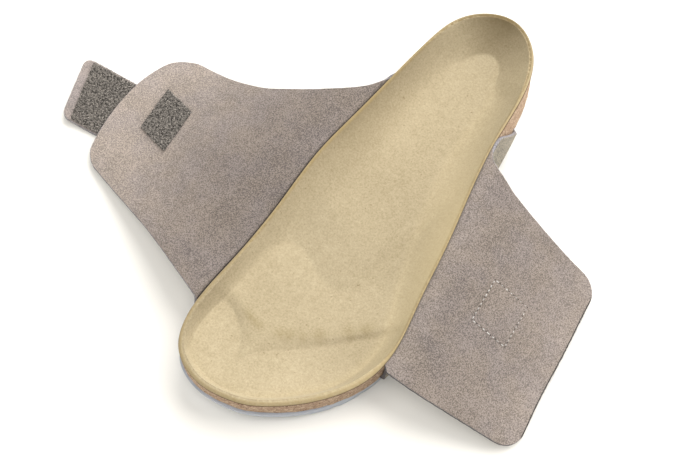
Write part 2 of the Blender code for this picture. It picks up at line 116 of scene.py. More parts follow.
def closed_spline(points, u):
    """Closed cubic spline with even curvature through points, one unit of u from point to point."""
    count = len(points)
    eye = np.eye(count)
    smooth = 4.0 * eye + np.roll(eye, 1, axis=0) + np.roll(eye, -1, axis=0)
    rise = 3.0 * (np.roll(points, -1, axis=0) - np.roll(points, 1, axis=0))
    slope = np.linalg.solve(smooth, rise)
    i = np.floor(u).astype(int) % count
    j = (i + 1) % count
    return cubic((u - np.floor(u))[:, None], points[i], points[j], slope[i], slope[j])


def rim_loop(side_steps):
    """The rim from the heel along the medial side to the toe and back, one spline through the table.

    "out" is the outward direction in plan, "spine" the place level with it on the sole's middle line,
    and "half" the distance to that.
    """
    column = dict(zip(RIM_COLUMNS, RIM_SECTIONS.T))
    sides = []
    for side in ("medial", "lateral"):
        names = (side, "y", "rim_" + side, "wall_" + side, "cork_" + side, "sole_" + side)
        sides.append(np.stack([column[name] for name in names], 1))
    knots = np.concatenate([sides[0], sides[1][-2:0:-1]])
    u = np.arange(2 * side_steps) * (len(RIM_SECTIONS) - 1) / side_steps
    loop = dict(zip(("x", "y", "rim", "wall", "cork", "sole"), closed_spline(knots, u).T))
    loop["plan"] = np.stack([loop["x"], loop["y"]], 1)
    along = unit(np.roll(loop["plan"], -1, axis=0) - np.roll(loop["plan"], 1, axis=0))
    loop["out"] = np.stack([along[:, 1], -along[:, 0]], 1)
    share = clamp((loop["y"] - HEEL_CENTRE[1]) / (BALL_CENTRE[1] - HEEL_CENTRE[1]))[:, None]
    loop["spine"] = HEEL_CENTRE + share * (BALL_CENTRE - HEEL_CENTRE)
    loop["half"] = np.linalg.norm(loop["spine"] - loop["plan"], axis=1)
    return loop


def spring(y):
    """How far the sole curls up towards the toe: a parabola from where the curl starts."""
    lift = np.clip((y - TOE_SPRING_START) / (RIM_SECTIONS[-1, 0] - TOE_SPRING_START), 0.0, None)
    return TOE_SPRING * lift ** 2


def tread(y):
    """Depth of the cross grooves: a flat floor in each pitch, with eased flanks."""
    off = np.abs(y % GROOVE_PITCH - GROOVE_PITCH / 2.0)
    depth = smoothstep((GROOVE_WIDTH + GROOVE_FLANK - 2.0 * off) / (2.0 * GROOVE_FLANK))
    return GROOVE_DEPTH * depth * (np.abs(y) < GROOVED_TO)


def ring(plan, z):
    """Rings of a loft: places in plan with their heights."""
    return np.concatenate([plan, z[..., None]], axis=-1)


def mesh_piece(name, points, quads, **marks):
    """Smooth mesh object of quads over points, meeting points welded; marks are values at the points."""
    mesh = bpy.data.meshes.new(name)
    mesh.from_pydata(points * MM, [], quads)
    for mark, values in marks.items():
        mesh.attributes.new(mark, "FLOAT", "POINT").data.foreach_set("value", values.astype(np.float32))
    work = bmesh.new()
    work.from_mesh(mesh)
    bmesh.ops.remove_doubles(work, verts=work.verts, dist=WELD)
    work.to_mesh(mesh)
    work.free()
    mesh.shade_smooth()
    piece = bpy.data.objects.new(name, mesh)
    bpy.context.scene.collection.objects.link(piece)
    return piece


def bands(index):
    """Quads between rings of point numbers, each ring closed along the last axis."""
    turned = np.roll(index, -1, axis=-1)
    low, high = np.s_[..., :-1, :], np.s_[..., 1:, :]
    return np.stack([index[low], turned[low], turned[high], index[high]], -1).reshape(-1, 4)


def ring_piece(name, rings, sharp, **marks):
    """Closed mesh between rings, from the middle of the under side up to the middle of the top.

    Edges that turn by more than sharp degrees stay sharp.
    """
    rings = np.array(rings)
    quads = bands(np.arange(rings[..., 0].size).reshape(rings.shape[:2]))
    marks = {mark: np.ravel(values) for mark, values in marks.items()}
    piece = mesh_piece(name, rings.reshape(-1, 3), quads, **marks)
    piece.data.set_sharp_from_angle(angle=np.radians(sharp))
    return piece


class Shade:
    """A socket of a material. Arithmetic on it adds Math nodes, and node() adds any other kind."""

    def __init__(self, tree, socket=None):
        self.tree = tree
        self.socket = socket

    def node(self, kind, settings=(), inputs=(), out=0):
        """New node of a kind: its settings first, then values or links by socket; gives one output."""
        made = self.tree.nodes.new(kind)
        for name, value in dict(settings).items():
            setattr(made, name, value)
        for name, value in dict(inputs).items():
            if isinstance(value, Shade):
                self.tree.links.new(value.socket, made.inputs[name])
            else:
                made.inputs[name].default_value = value
        return Shade(self.tree, made.outputs[out])

    def math(self, operation, first, second):
        return self.node("ShaderNodeMath", {"operation": operation}, {0: first, 1: second})

    def __add__(self, other):
        return self.math("ADD", self, other)

    __radd__ = __add__

    def __sub__(self, other):
        return self.math("SUBTRACT", self, other)

    def __rsub__(self, other):
        return self.math("SUBTRACT", other, self)

    def __mul__(self, other):
        return self.math("MULTIPLY", self, other)

    __rmul__ = __mul__

    def __pow__(self, other):
        return self.math("POWER", self, other)

    def __abs__(self):
        return self.math("ABSOLUTE", self, 0.0)

    def ease(self, low, high):
        """0 below low, 1 above high, eased between."""
        return self.node("ShaderNodeMapRange", {"interpolation_type": "SMOOTHSTEP"},
                         {"Value": self, "From Min": low, "From Max": high})

    def mix(self, first, second):
        """Colour between two, by this value; each is a Shade or three screen values."""
        first, second = [c if isinstance(c, Shade) else srgb(*c) for c in (first, second)]
        return self.node("ShaderNodeMix", {"data_type": "RGBA"}, {0: self, 6: first, 7: second}, 2)

    def noise(self, size, detail, stretch=(1.0, 1.0, 1.0)):
        """Cloudy noise about 0.5, its lumps of a size in millimetres, drawn out along the axes."""
        place = self.node("ShaderNodeTexCoord", out="Object")
        place = self.node("ShaderNodeVectorMath", {"operation": "DIVIDE"}, {0: place, 1: stretch})
        return self.node("ShaderNodeTexNoise", {},
                         {"Vector": place, "Scale": 1.0 / (size * MM), "Detail": detail})

    def clouds(self, *layers):
        """Sum of noises about 0, from rows of amount, size and detail."""
        return sum(amount * (self.noise(size, detail) - 0.5) for amount, size, detail in layers)

    def cells(self, size, out="Distance", feature="F1"):
        """Voronoi cells of a size in millimetres."""
        place = self.node("ShaderNodeTexCoord", out="Object")
        return self.node("ShaderNodeTexVoronoi", {"feature": feature},
                         {"Vector": place, "Scale": 1.0 / (size * MM)}, out)

    def place(self):
        """The three object coordinates in millimetres."""
        place = self.node("ShaderNodeTexCoord", out="Object")
        return [1.0 / MM * self.node("ShaderNodeSeparateXYZ", {}, {0: place}, axis) for axis in range(3)]

    def mark(self, name):
        """A value that the mesh holds at its points."""
        return self.node("ShaderNodeAttribute", {"attribute_name": name}, out="Fac")


def srgb(red, green, blue):
    """Linear colour, with alpha, of a colour named by its screen values from 0 to 255."""
    value = np.array([red, green, blue]) / 255.0
    linear = np.where(value > 0.04045, ((value + 0.055) / 1.055) ** 2.4, value / 12.92)
    return (*linear.tolist(), 1.0)


def finish(name, roughness, specular, sheen=0.0):
    """New material: its block, its Principled shader's inputs, and a Shade to start expressions from."""
    block = bpy.data.materials.new(name)
    block.use_nodes = True
    shader = block.node_tree.nodes["Principled BSDF"].inputs
    shader["Roughness"].default_value = roughness
    shader["Specular IOR Level"].default_value = specular
    shader["Sheen Weight"].default_value = sheen
    return block, shader, Shade(block.node_tree)


def paint(shader, colour, height=None, depth=0.0, strength=0.0):
    """Link a colour to a shader and, as a bump, a height whose full range is a depth in millimetres."""
    colour.tree.links.new(colour.socket, shader["Base Color"])
    if height is not None:
        inputs = {"Height": height, "Distance": depth * MM, "Strength": strength}
        normal = height.node("ShaderNodeBump", {}, inputs)
        normal.tree.links.new(normal.socket, shader["Normal"])


def seat(piece, block, slot, *nodes):
    """Give a piece its material and its place on the body, and hide the nodes that it stands for; the
    slot is not used.
    """
    piece.data.materials.append(block)
    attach(piece, "root")
    if nodes:
        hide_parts(*nodes)


rim = rim_loop(SIDE_STEPS)
sole_edge = rim["plan"] + rim["out"] * rim["sole"][:, None]
lean = TOE_LEAN["inset"] * eased(rim["y"], TOE_LEAN)[:, None]
sole_foot = sole_edge - rim["out"] * (SOLE_EDGE_ROUND + lean)
outsole_rings = []
for inset in UNDER_INSETS:
    plan = sole_foot + inset * (rim["spine"] - sole_foot)
    outsole_rings.append(ring(plan, spring(plan[:, 1]) + tread(plan[:, 1])))
for turn in ROUND_TURNS:
    plan = sole_foot + rim["out"] * SOLE_EDGE_ROUND * np.sin(turn)
    lift = np.maximum(SOLE_EDGE_ROUND * (1.0 - np.cos(turn)), tread(plan[:, 1]))
    outsole_rings.append(ring(plan, spring(plan[:, 1]) + lift))
for share in SIDE_SHARES:
    plan = sole_edge - rim["out"] * lean * (1.0 - share)
    outsole_rings.append(ring(plan, spring(plan[:, 1]) + share * OUTSOLE_THICK))
for inset in TOP_INSETS:
    plan = sole_edge + inset * (rim["spine"] - sole_edge)
    outsole_rings.append(ring(plan, spring(plan[:, 1]) + OUTSOLE_THICK))
outsole = ring_piece("outsole_foam", outsole_rings, SHARP_ANGLE)

foam, shader, shade = finish("foam_rubber", 0.62, 0.35)
tone = 0.5 + shade.clouds((0.8, 14.0, 3.0), (0.5, 0.8, 2.0))
pores = shade.noise(0.7, 3.0) + 0.6 * shade.cells(0.9)
paint(shader, tone.mix((158, 163, 172), (194, 199, 207)), pores, 0.12, 0.5)
seat(outsole, foam, "foam_outsole", "outsole")


# Insole: thin beige suede glued over the cork and trimmed at the rim. The mould leaves its forms in
# it: heel seat, arches, pad, a step to the ball, a slanting toe bar and a ridge beside the big toe.
INSOLE_THICK = 1.8
TOE_PART = {"y": 46.0, "length": 40.0}
HEEL_PART = {"y": -92.0, "length": -34.0}
ROLLED_EDGE = {"toe": 1.2, "heel": 0.4, "medial": 0.4, "lateral": 0.3}
FLOOR_Y = np.array([-141.0, -110.0, -85.0, -55.0, -20.0, 10.0, 35.0, 70.0])
FLOOR_Z = np.array([26.5, 25.5, 25.5, 26.8, 28.2, 27.3, 25.2, 24.0])
ARCH = {"rise": 5.0, "y": -12.0, "length": 45.0, "x": -2.0, "width": 38.0}
OUTER_ARCH = {"rise": 2.0, "y": -20.0, "length": 40.0, "x": -10.0, "width": -30.0}
PAD = {"y": 49.4, "outer_x": -14.0, "inner_x": 14.0, "back": 8.5, "slope": 30.0,
       "outer_fall": 0.022, "outer_curl": 3.6e-5, "inner_rise": 0.045, "inner_curl": 2.5e-4}
OUTER_SLOPE = {"x": -27.0, "width": -16.0, "y": -30.0, "length": 95.0}
OUTER_BANK = {"rise": 3.0, "x": -24.0, "width": -36.0, "y": 35.0, "length": 52.0}
TOE_BAR_COLUMNS = ("x", "crest", "foot")
TOE_BAR = np.array([
    (-62.0, 41.0, 49.5),
    (-48.0, 60.5, 63.8),
    (-38.0, 70.0, 75.5),
    (-25.0, 80.3, 89.1),
    (-15.0, 87.3, 98.0),
    (-9.0, 90.8, 104.2),
    (-5.0, 92.2, 110.8),
    (-3.0, 92.5, 114.5),
    (0.0, 92.6, 109.4),
    (4.0, 92.0, 103.8),
    (8.0, 91.0, 99.6),
    (15.0, 88.5, 94.9),
    (22.0, 86.4, 92.8),
    (28.0, 84.6, 93.2),
    (36.0, 82.0, 94.0),
])
BAR_RISE = 0.5
BAR_BACK = 12.0
BAR_ROUND = 1.4
BALL_Z = 21.4
TOE_DROP = 1.4
SPRING_SHARE = 0.5
LIP = {"toe": 3.2, "heel": 2.3, "medial": 1.2, "lateral": 0.7}
LIP_ROUND = {"toe": 2.5, "heel": 1.6, "medial": 1.1, "lateral": 0.7}
LIP_LINE = {"toe": 0.16, "heel": 0.5, "medial": 0.25, "lateral": 0.15}
LIP_LINE_WIDTH = 0.7
# Painted shade in the pressed line of the lip.
LIP_LINE_SHADE = 2.0
# A darker band along the rim's edge, its share by side.
DARKER_RIM = {"toe": 0.5, "heel": 0.3, "medial": 0.6, "lateral": 0.5}
DARKER_RIM_WIDTH = 2.4
EDGE_FLARE = {"by": 0.5, "y": -70.0, "length": -12.0}
WALL_POWER = {"toe": 1.3, "heel": 1.1, "medial": 1.7, "lateral": 1.75}
# Painted shade on the steep walls of the inner arch, the heel and the big toe, heaviest on the inner
# side; darker pressed nap over the waist and ball.
ARCH_WALL_SHADE = {"share": 0.37, "y": -47.0, "length": 60.0}
HEEL_WALL_SHADE = {"share": 0.72, "lean": 0.65}
TOE_WALL_SHADE = {"share": 0.18, "y": 50.0, "length": 35.0}
PRESSED_WAIST = {"share": 0.14, "y": -22.0, "length": 46.0}
PRESSED_BALL = {"share": 0.09, "y": 72.0, "length": 24.0}
# How the painted shade on the walls grows with their steepness.
STEEP = {"crease": 0.4, "edge": 12.0, "fade": 1.5}
BEYOND_WALL = 5.0
# Painted light up the outer side's wall.
OUTER_LIGHT = {"share": 0.6, "y": 5.0, "length": 115.0}
WORN_COLUMNS = ("x", "y", "radius", "share")
WORN_SPOTS = np.array([
    (10.0, 90.5, 2.6, 0.7),
    (6.9, 91.4, 2.8, 1.0),
    (3.5, 92.0, 2.8, 1.0),
    (0.0, 92.3, 2.8, 0.8),
    (-12.0, 88.5, 4.0, 0.8),
    (-16.5, 86.0, 4.0, 0.8),
    (-23.0, 82.5, 4.0, 0.6),
    (-29.7, 76.0, 4.0, 0.9),
    (-42.2, 64.6, 4.5, 0.8),
    (-48.4, 57.2, 4.5, 0.9),
])
LIP_SHARES = np.linspace(0.0, 1.0, 15)[:-1, None]
WALL_SHARES = np.linspace(0.0, 1.0, 36)[:, None] ** 1.5
FLOOR_SHARES = np.linspace(0.0, 1.0, 56)[1:, None]
TRIM_ANGLE = 60.0


def hump(t):
    """Bell shape, 1 in the middle and about a third at t of 1."""
    return np.exp(-t ** 2)


def hump_at(y, part):
    """Bell shape along the sole, about the y of a part and as long as it says."""
    return hump((y - part["y"]) / part["length"])


def through(x, xs, ys):
    """Smooth curve through a table that never overshoots: slopes are their neighbours' harmonic mean."""
    rise = np.diff(ys) / np.diff(xs)
    alike = rise[:-1] * rise[1:] > 0.0
    total = np.where(alike, rise[:-1] + rise[1:], 1.0)
    inner = np.where(alike, 2.0 * rise[:-1] * rise[1:] / total, 0.0)
    slope = np.concatenate([rise[:1], inner, rise[-1:]])
    i = np.clip(np.searchsorted(xs, x) - 1, 0, len(xs) - 2)
    step = xs[i + 1] - xs[i]
    t = clamp((x - xs[i]) / step)
    return cubic(t, ys[i], ys[i + 1], step * slope[i], step * slope[i + 1])


def pad_front(x):
    """Line along the pad's front: an S that falls back at its outer end and runs on at its inner end."""
    outer = np.maximum(PAD["outer_x"] - x, 0.0)
    inner = np.maximum(x - PAD["inner_x"], 0.0)
    s_curve = PAD["back"] * smoothstep((x - PAD["outer_x"]) / (PAD["inner_x"] - PAD["outer_x"]))
    fall = PAD["outer_fall"] * outer ** 2 + PAD["outer_curl"] * outer ** 4
    return PAD["y"] - s_curve - fall + PAD["inner_rise"] * inner ** 2 + PAD["inner_curl"] * inner ** 4


def floor_height(x, y):
    """Floor of the footbed: heel seat, arches and pad, a step down to the ball, toe bar and toes.

    The step rolls off as a square and ends in a crease at the pad's front line.
    """
    inner = hump_at(y, ARCH) * eased(x, ARCH, "x", "width")
    outer = hump_at(y, OUTER_ARCH) * eased(x, OUTER_ARCH, "x", "width")
    pad = through(y, FLOOR_Y, FLOOR_Z) + ARCH["rise"] * inner + OUTER_ARCH["rise"] * outer
    bar = dict(zip(TOE_BAR_COLUMNS, TOE_BAR.T))
    crest = through(x, bar["x"], bar["crest"])
    foot = through(x, bar["x"], bar["foot"])
    down = clamp((y - crest) / (foot - crest)) ** BAR_ROUND
    front = BALL_Z + SPRING_SHARE * spring(y) - TOE_DROP * down
    front = front + BAR_RISE * (1.0 - down) * hump(np.minimum(y - crest, 0.0) / BAR_BACK)
    tilt = np.hypot(1.0, (pad_front(x + 0.5) - pad_front(x - 0.5)))
    step = clamp((y - pad_front(x)) / (tilt * PAD["slope"]) + 1.0) ** 2
    step = step + (eased(y, OUTER_SLOPE) - step) * eased(x, OUTER_SLOPE, "x", "width")
    bank = hump_at(y, OUTER_BANK) * eased(x, OUTER_BANK, "x", "width")
    return pad + (front - pad) * step + OUTER_BANK["rise"] * bank


def up_the_wall(loop, distance, beyond=0.0):
    """Share that is left of the wall's width and a strip beyond it: 1 at the lip, 0 at the floor."""
    return clamp(1.0 - (distance - loop["lip"]) / (loop["wall"] + beyond))


def lip_line(loop, distance):
    """1 in the line that is pressed into the lip where its edge starts to roll over."""
    return hump((distance - loop["round"]) / LIP_LINE_WIDTH)


def footbed_face(loop, distance):
    """Rings of the footbed's face at distances inside the rim, with their heights.

    The lip is level with a round outer edge and a pressed line; inside it the wall falls to the floor
    as a power of what is left of its width, nearly straight behind the heel seat and hollow elsewhere.
    """
    share = np.minimum(distance / loop["half"], 1.0)[..., None]
    plan = loop["plan"] + share * (loop["spine"] - loop["plan"])
    floor = floor_height(plan[..., 0], plan[..., 1])
    z = floor + (loop["rim"] - floor) * up_the_wall(loop, distance) ** loop["power"]
    z = z - loop["drop"] * clamp(1.0 - distance / loop["round"]) ** 2
    return ring(plan, z - loop["line"] * lip_line(loop, distance))


def shade_and_pressed_nap(loop, distance, points):
    """Painted shade on the steep walls of the inner arch, the heel and the big toe, heaviest on the inner
    side, and a darker pressed nap over the waist and ball.
    """
    y = points[..., 1]
    right, ahead = loop["out"].T
    left = up_the_wall(loop, distance)
    steep = STEEP["crease"] * smoothstep(STEEP["edge"] * left)
    steep = steep + (1.0 - STEEP["crease"]) * left ** STEEP["fade"]
    arch = ARCH_WALL_SHADE["share"] * hump_at(y, ARCH_WALL_SHADE) * clamp(right)
    heel = HEEL_WALL_SHADE["share"] * (1.0 + HEEL_WALL_SHADE["lean"] * right) * clamp(-ahead) ** 2
    toe = TOE_WALL_SHADE["share"] * eased(y, TOE_WALL_SHADE) * clamp(right)
    walls = np.maximum(up_the_wall(loop, distance, BEYOND_WALL) * arch, steep * np.maximum(heel, toe))
    return walls + sum(part["share"] * hump_at(y, part) for part in (PRESSED_WAIST, PRESSED_BALL))


def outer_wall_light(loop, distance, points):
    """Painted light up the outer side's wall, most beside the waist."""
    wall = up_the_wall(loop, distance, BEYOND_WALL)
    return OUTER_LIGHT["share"] * hump_at(points[..., 1], OUTER_LIGHT) * wall * clamp(-loop["out"][:, 0])


def rubbed_nap(points):
    """Where toes rub the suede: soft round spots along the ridge and the crest of the toe bar."""
    spot = dict(zip(WORN_COLUMNS, WORN_SPOTS.T))
    away = np.hypot(points[..., :1] - spot["x"], points[..., 1:2] - spot["y"])
    return np.max(spot["share"] * hump(away / spot["radius"]), axis=-1)


def round_rim(loop, values):
    """A value round the rim: each side's own, eased into the toe's and the heel's towards the ends."""
    side = np.where(loop["out"][:, 0] > 0.0, values["medial"], values["lateral"])
    toe, heel = eased(loop["y"], TOE_PART), eased(loop["y"], HEEL_PART)
    return side + toe * (values["toe"] - side) + heel * (values["heel"] - side)


rim_values = {"drop": ROLLED_EDGE, "lip": LIP, "round": LIP_ROUND, "line": LIP_LINE,
              "power": WALL_POWER, "rim_darkening_share": DARKER_RIM}
for name, values in rim_values.items():
    rim[name] = round_rim(rim, values)
wall_foot = rim["lip"] + rim["wall"]
distances = np.concatenate([rim["lip"] * LIP_SHARES, rim["lip"] + rim["wall"] * WALL_SHARES,
                            wall_foot + (rim["half"] - wall_foot) * FLOOR_SHARES])
face = footbed_face(rim, distances)
upward = np.array([0.0, 0.0, 1.0])
under = face[:3:-3] - INSOLE_THICK * upward
rim_edge = face[:1] - INSOLE_THICK * upward
rim_edge[..., :2] += EDGE_FLARE["by"] * eased(rim["y"], EDGE_FLARE)[:, None] * rim["out"]
hidden = np.zeros(under.shape[:2])
marks = {
    # Painted shade on the steep walls, with darker pressed nap at waist and ball.
    "pressed_and_shaded": shade_and_pressed_nap(rim, distances, face),
    # Painted light up the outer wall.
    "painted_outer_light": outer_wall_light(rim, distances, face),
    "rubbed": rubbed_nap(face),
    # Painted shade in the lip's pressed line.
    "line": LIP_LINE_SHADE * rim["line"] * lip_line(rim, distances),
    # Darker towards the rim's edge.
    "rim_darkening": rim["rim_darkening_share"] * smoothstep(2.0 - 2.0 * distances / DARKER_RIM_WIDTH),
    # Painted shade on the insole's trimmed edge above the cork.
    "trim_shade": 0.0 * distances,
}
marks = {name: np.concatenate([hidden, values[:1], values]) for name, values in marks.items()}
# Painted shade along the insole's trimmed edge, above the cork.
marks["trim_shade"][len(under)] = 1.0
insole = ring_piece("insole_suede", np.concatenate([under, rim_edge, face]), TRIM_ANGLE, **marks)

nap, shader, shade = finish("beige_suede", 0.95, 0.12, 0.08)
tone = 0.5 + shade.clouds((0.5, 38.0, 3.0), (0.45, 5.0, 3.0), (1.5, 1.1, 3.0), (0.8, 0.5, 2.0))
colour = tone.mix((143, 130, 102), (174, 160, 132))
pore = (1.0 - shade.cells(4.0).ease(0.05, 0.14)) * shade.noise(9.0, 2.0).ease(0.45, 0.65)
fleck = shade.noise(2.4, 1.0).ease(0.75, 0.79)
colour = (0.4 * pore + 0.4 * fleck).mix(colour, (105, 86, 58))
rub = shade.mark("rubbed") * (0.4 + 1.2 * shade.noise(2.0, 2.0))
colour = (0.36 * rub).mix(colour, (112, 97, 56))
# Painted light up the outer wall.
colour = shade.mark("painted_outer_light").mix(colour, (196, 178, 138))
# Painted shade on the steep walls, and darker pressed nap at waist and ball.
colour = shade.mark("pressed_and_shaded").mix(colour, (90, 75, 46))
# Painted shade in the lip's pressed line, broken by noise.
line_shade = shade.mark("line") * shade.noise(1.6, 1.0).ease(0.3, 0.6)
colour = (0.7 * line_shade).mix(colour, (84, 66, 40))
# Darker band along the rim's edge, broken by noise.
rim_darkening = shade.mark("rim_darkening") * (0.4 + 1.2 * shade.noise(1.6, 2.0))
colour = rim_darkening.mix(colour, (146, 127, 88))
# Painted shade on the insole's trimmed edge.
colour = shade.mark("trim_shade").ease(0.15, 0.85).mix(colour, (84, 60, 40))
paint(shader, colour, shade.noise(0.6, 3.0) + 0.5 * shade.noise(2.5, 2.0), 0.14, 0.5)
seat(insole, nap, "footbed_suede", "insole")


# Cork body: ground cork and latex pressed in a mould to the foot's shape. It carries the insole and
# is glued on the outsole, with a low rebate round its foot where each flap's margin is tucked in.
GAP = 0.3
TUCK = 8.0
LEATHER = 2.0
FLAP_SEAMS = {1: (-100.0, 105.0), -1: (-99.0, 70.0)}
REBATE_MARGIN = 1.5
REBATE_PROFILE = ((TUCK + 1.6, 0.0), (TUCK + 1.2, 1.0), (0.4, 1.0))
CORK_INSETS = (1.0, 0.6, 0.3)
CORK_SHARES = np.linspace(0.0, 1.0, 26)
CORK_ROUND = {"inset": 0.3, "power": 8}
CORK_LUMPS = ((3.2, 0.22), (1.4, 0.12))
CORK_SEED = 7
LATTICE_VALUES = 4096
LATTICE_STRIDES = np.array([73856093, 19349663, 83492791])


def lattice_noise(points, pitch, seed):
    """Smooth noise from -1 to 1: random values on a cubic lattice, eased between the corners."""
    table = np.random.default_rng(seed).uniform(-1.0, 1.0, LATTICE_VALUES)
    cell = points / pitch
    base = np.floor(cell).astype(np.int64)
    t = smoothstep(cell - base)
    total = np.zeros(points.shape[:-1])
    for corner in np.ndindex(2, 2, 2):
        at = (base + np.array(corner)) * LATTICE_STRIDES
        key = (at[..., 0] ^ at[..., 1] ^ at[..., 2]) % LATTICE_VALUES
        total += table[key] * np.prod(np.where(corner, t, 1.0 - t), axis=-1)
    return total


def rebate(loop):
    """Height cut away at the cork's foot: full along each flap's seam, none elsewhere."""
    side = np.where(np.arange(len(loop["y"])) < len(loop["y"]) // 2, 1, -1)
    cut = np.zeros(len(side))
    for which, (heel, toe) in FLAP_SEAMS.items():
        inside = smoothstep((loop["y"] - heel) / REBATE_MARGIN + 1.0)
        inside = inside * smoothstep((toe - loop["y"]) / REBATE_MARGIN + 1.0)
        cut = np.where(side == which, inside, cut)
    return (LEATHER + 2.0 * GAP) * cut


cork_foot = rim["plan"] + rim["out"] * rim["cork"][:, None]
cork_bottom = spring(cork_foot[:, 1]) + OUTSOLE_THICK + GAP
cork_top = rim["rim"] - rim["drop"] - INSOLE_THICK - GAP
cork_rings = []
for inset in CORK_INSETS:
    plan = cork_foot + inset * (rim["spine"] - cork_foot)
    cork_rings.append(ring(plan, spring(plan[:, 1]) + OUTSOLE_THICK + GAP))
for inset, raised in REBATE_PROFILE:
    plan = cork_foot - inset * rim["out"]
    cork_rings.append(ring(plan, spring(plan[:, 1]) + OUTSOLE_THICK + GAP + raised * rebate(rim)))
for share in CORK_SHARES:
    plan = cork_foot + share * (rim["plan"] - cork_foot)
    side = ring(plan, cork_bottom + rebate(rim) + share * (cork_top - cork_bottom - rebate(rim)))
    lumps = sum(depth * lattice_noise(side, pitch, CORK_SEED) for pitch, depth in CORK_LUMPS)
    rounded = CORK_ROUND["inset"] * (2.0 * share - 1.0) ** CORK_ROUND["power"]
    side[:, :2] += rim["out"] * (lumps - rounded)[:, None]
    cork_rings.append(side)
cork_rings += list(np.concatenate([face[4::4], face[-1:]]) - (INSOLE_THICK + GAP) * upward)
cork = ring_piece("cork_body", cork_rings, SHARP_ANGLE)

granules, shader, shade = finish("pressed_cork", 0.9, 0.2)
grain_tone = shade.node("ShaderNodeSeparateColor", {}, {"Color": shade.cells(2.2, out="Color")})
tone = 0.15 + 0.55 * grain_tone + shade.clouds((0.5, 7.0, 3.0))
colour = tone.mix((157, 129, 104), (207, 184, 158))
speck = shade.noise(1.1, 3.0).ease(0.56, 0.66)
colour = (0.75 * speck).mix(colour, (98, 66, 48))
seam = shade.cells(2.2, feature="DISTANCE_TO_EDGE").ease(0.0, 0.09)
colour = (0.55 - 0.55 * seam).mix(colour, (92, 62, 46))
paint(shader, colour, 0.7 * seam + 0.6 * shade.noise(0.9, 3.0), 0.35, 0.7)
seat(cork, granules, "cork", "cork_midsole")


# Flaps: two broad pieces of taupe suede. Each is tucked between cork and outsole, runs up the cork's
# side, and is laid open here with its inner face up: it folds out over the rim and falls to the floor.
FLAP_COLUMNS = 180
FLAP_ROWS = {"tucked": 5, "bend": 7, "wall": 26, "fold": 19, "sheet": 80, "end": 28}
CORK_CLEARANCE = 0.7
FOLD_RADIUS = 3.2
TUCK_CORNER = 1.5
WALL_HEIGHT = 24.0
FOLD_LENGTH = 5.0
TAB_CROSSING_Y = 34.0
TAB_LIFT_HALF = 45.0
MEDIAL = {
    "side": 1,
    "seam": FLAP_SEAMS[1],
    "wall": np.array([(24.0, -70.0, 103.0)]),
    "reach": np.array([0.0, 8.0, 20.0, 36.0, 55.0, 80.0, 109.8]),
    "heel_edge": np.array([-59.5, -51.6, -42.7, -31.9, -22.4, -18.2, -17.6]),
    "toe_edge": np.array([101.5, 99.4, 96.0, 91.0, 85.2, 78.6, 70.6]),
    "bulge": 9.9,
    "tilt": -0.012,
    "corners": (12.0, 7.5),
    "clearance": 0.6,
    "radius": 1.8,
    "fold_drop": 1.6,
    "stiff": 0.5,
    "land": 105.0,
    "end": 3.0,
    "tab_lift": 2.4,
}
LATERAL = {
    "side": -1,
    "seam": FLAP_SEAMS[-1],
    "wall": np.array([(8.6, -90.1, 69.2), (16.4, -83.2, 68.4),
                      (23.4, -76.0, 68.2), (25.6, -67.0, 69.4)]),
    "reach": np.array([0.0, 8.0, 20.0, 40.0, 58.0, 70.0, 80.0]),
    "heel_edge": np.array([-62.0, -58.4, -54.2, -52.2, -51.7, -51.8, -52.0]),
    "toe_edge": np.array([71.5, 71.2, 69.9, 66.0, 62.0, 59.5, 57.5]),
    "bulge": -1.5,
    "tilt": 0.035,
    "corners": (11.5, 12.0),
    "clearance": 0.15,
    "radius": 0.8,
    "fold_drop": -0.8,
    "stiff": 0.0,
    "land": 95.0,
    "end": 2.6,
    "tab_lift": 0.0,
}
LATERAL_PATCH = {"centre": (-99.7, 3.8), "out_edge": (-21.8, -2.2), "long_edge": (-4.3, 26.7)}
STITCH_PITCH = 3.0
HOLE_RADII = (0.2, 0.6)
EDGE_PROFILE = ((0.45, 0.06), (0.34, 0.13), (0.0, 0.15), (-0.34, 0.13), (-0.45, 0.06))
EDGE_FRAY = 0.12
FRAY_PITCH = 1.1
FRAY_SEED = 5
EDGE_WEAR = 0.45
STIFF_POWER = 1.5
RIPPLES = ((26.0, 0.35), (9.0, 0.1))
RIPPLE_START = 30.0
RIPPLE_SEED = 11


def beside(flap, y):
    """The rim's x, its height and the cork's foot on a flap's side, by place along the sole."""
    pick = slice(0, SIDE_STEPS + 1) if flap["side"] > 0 else slice(SIDE_STEPS, None)
    side = {name: rim[name][pick][::flap["side"]] for name in ("x", "y", "rim", "cork")}
    return [np.interp(y, side["y"], side[name]) for name in ("x", "rim", "cork")]


def fold_line(flap, y):
    """Where the fold stands: its x at zero reach, and the height of the leather's middle on top."""
    x, rim_height, _ = beside(flap, y)
    away = CORK_CLEARANCE + LEATHER / 2.0 + FOLD_RADIUS
    return x + flap["side"] * away, rim_height - flap["fold_drop"] - LEATHER / 2.0


def on_flap(flap, x, y):
    """Height of the leather's middle over a place: level at the fold, then one S-shaped fall.

    Stiff leather falls partly as a power of the reach instead, which keeps it higher over the floor.
    """
    fold_x, fold_top = fold_line(flap, y)
    reach = clamp(flap["side"] * (x - fold_x) / flap["land"])
    lift = flap["tab_lift"] * np.exp(-((y - TAB_CROSSING_Y) / TAB_LIFT_HALF) ** 4)
    end = flap["end"] + lift - LEATHER / 2.0
    fallen = smoothstep(reach)
    fallen = fallen + flap["stiff"] * (reach ** STIFF_POWER - fallen)
    return end + (fold_top - end) * (1.0 - fallen)


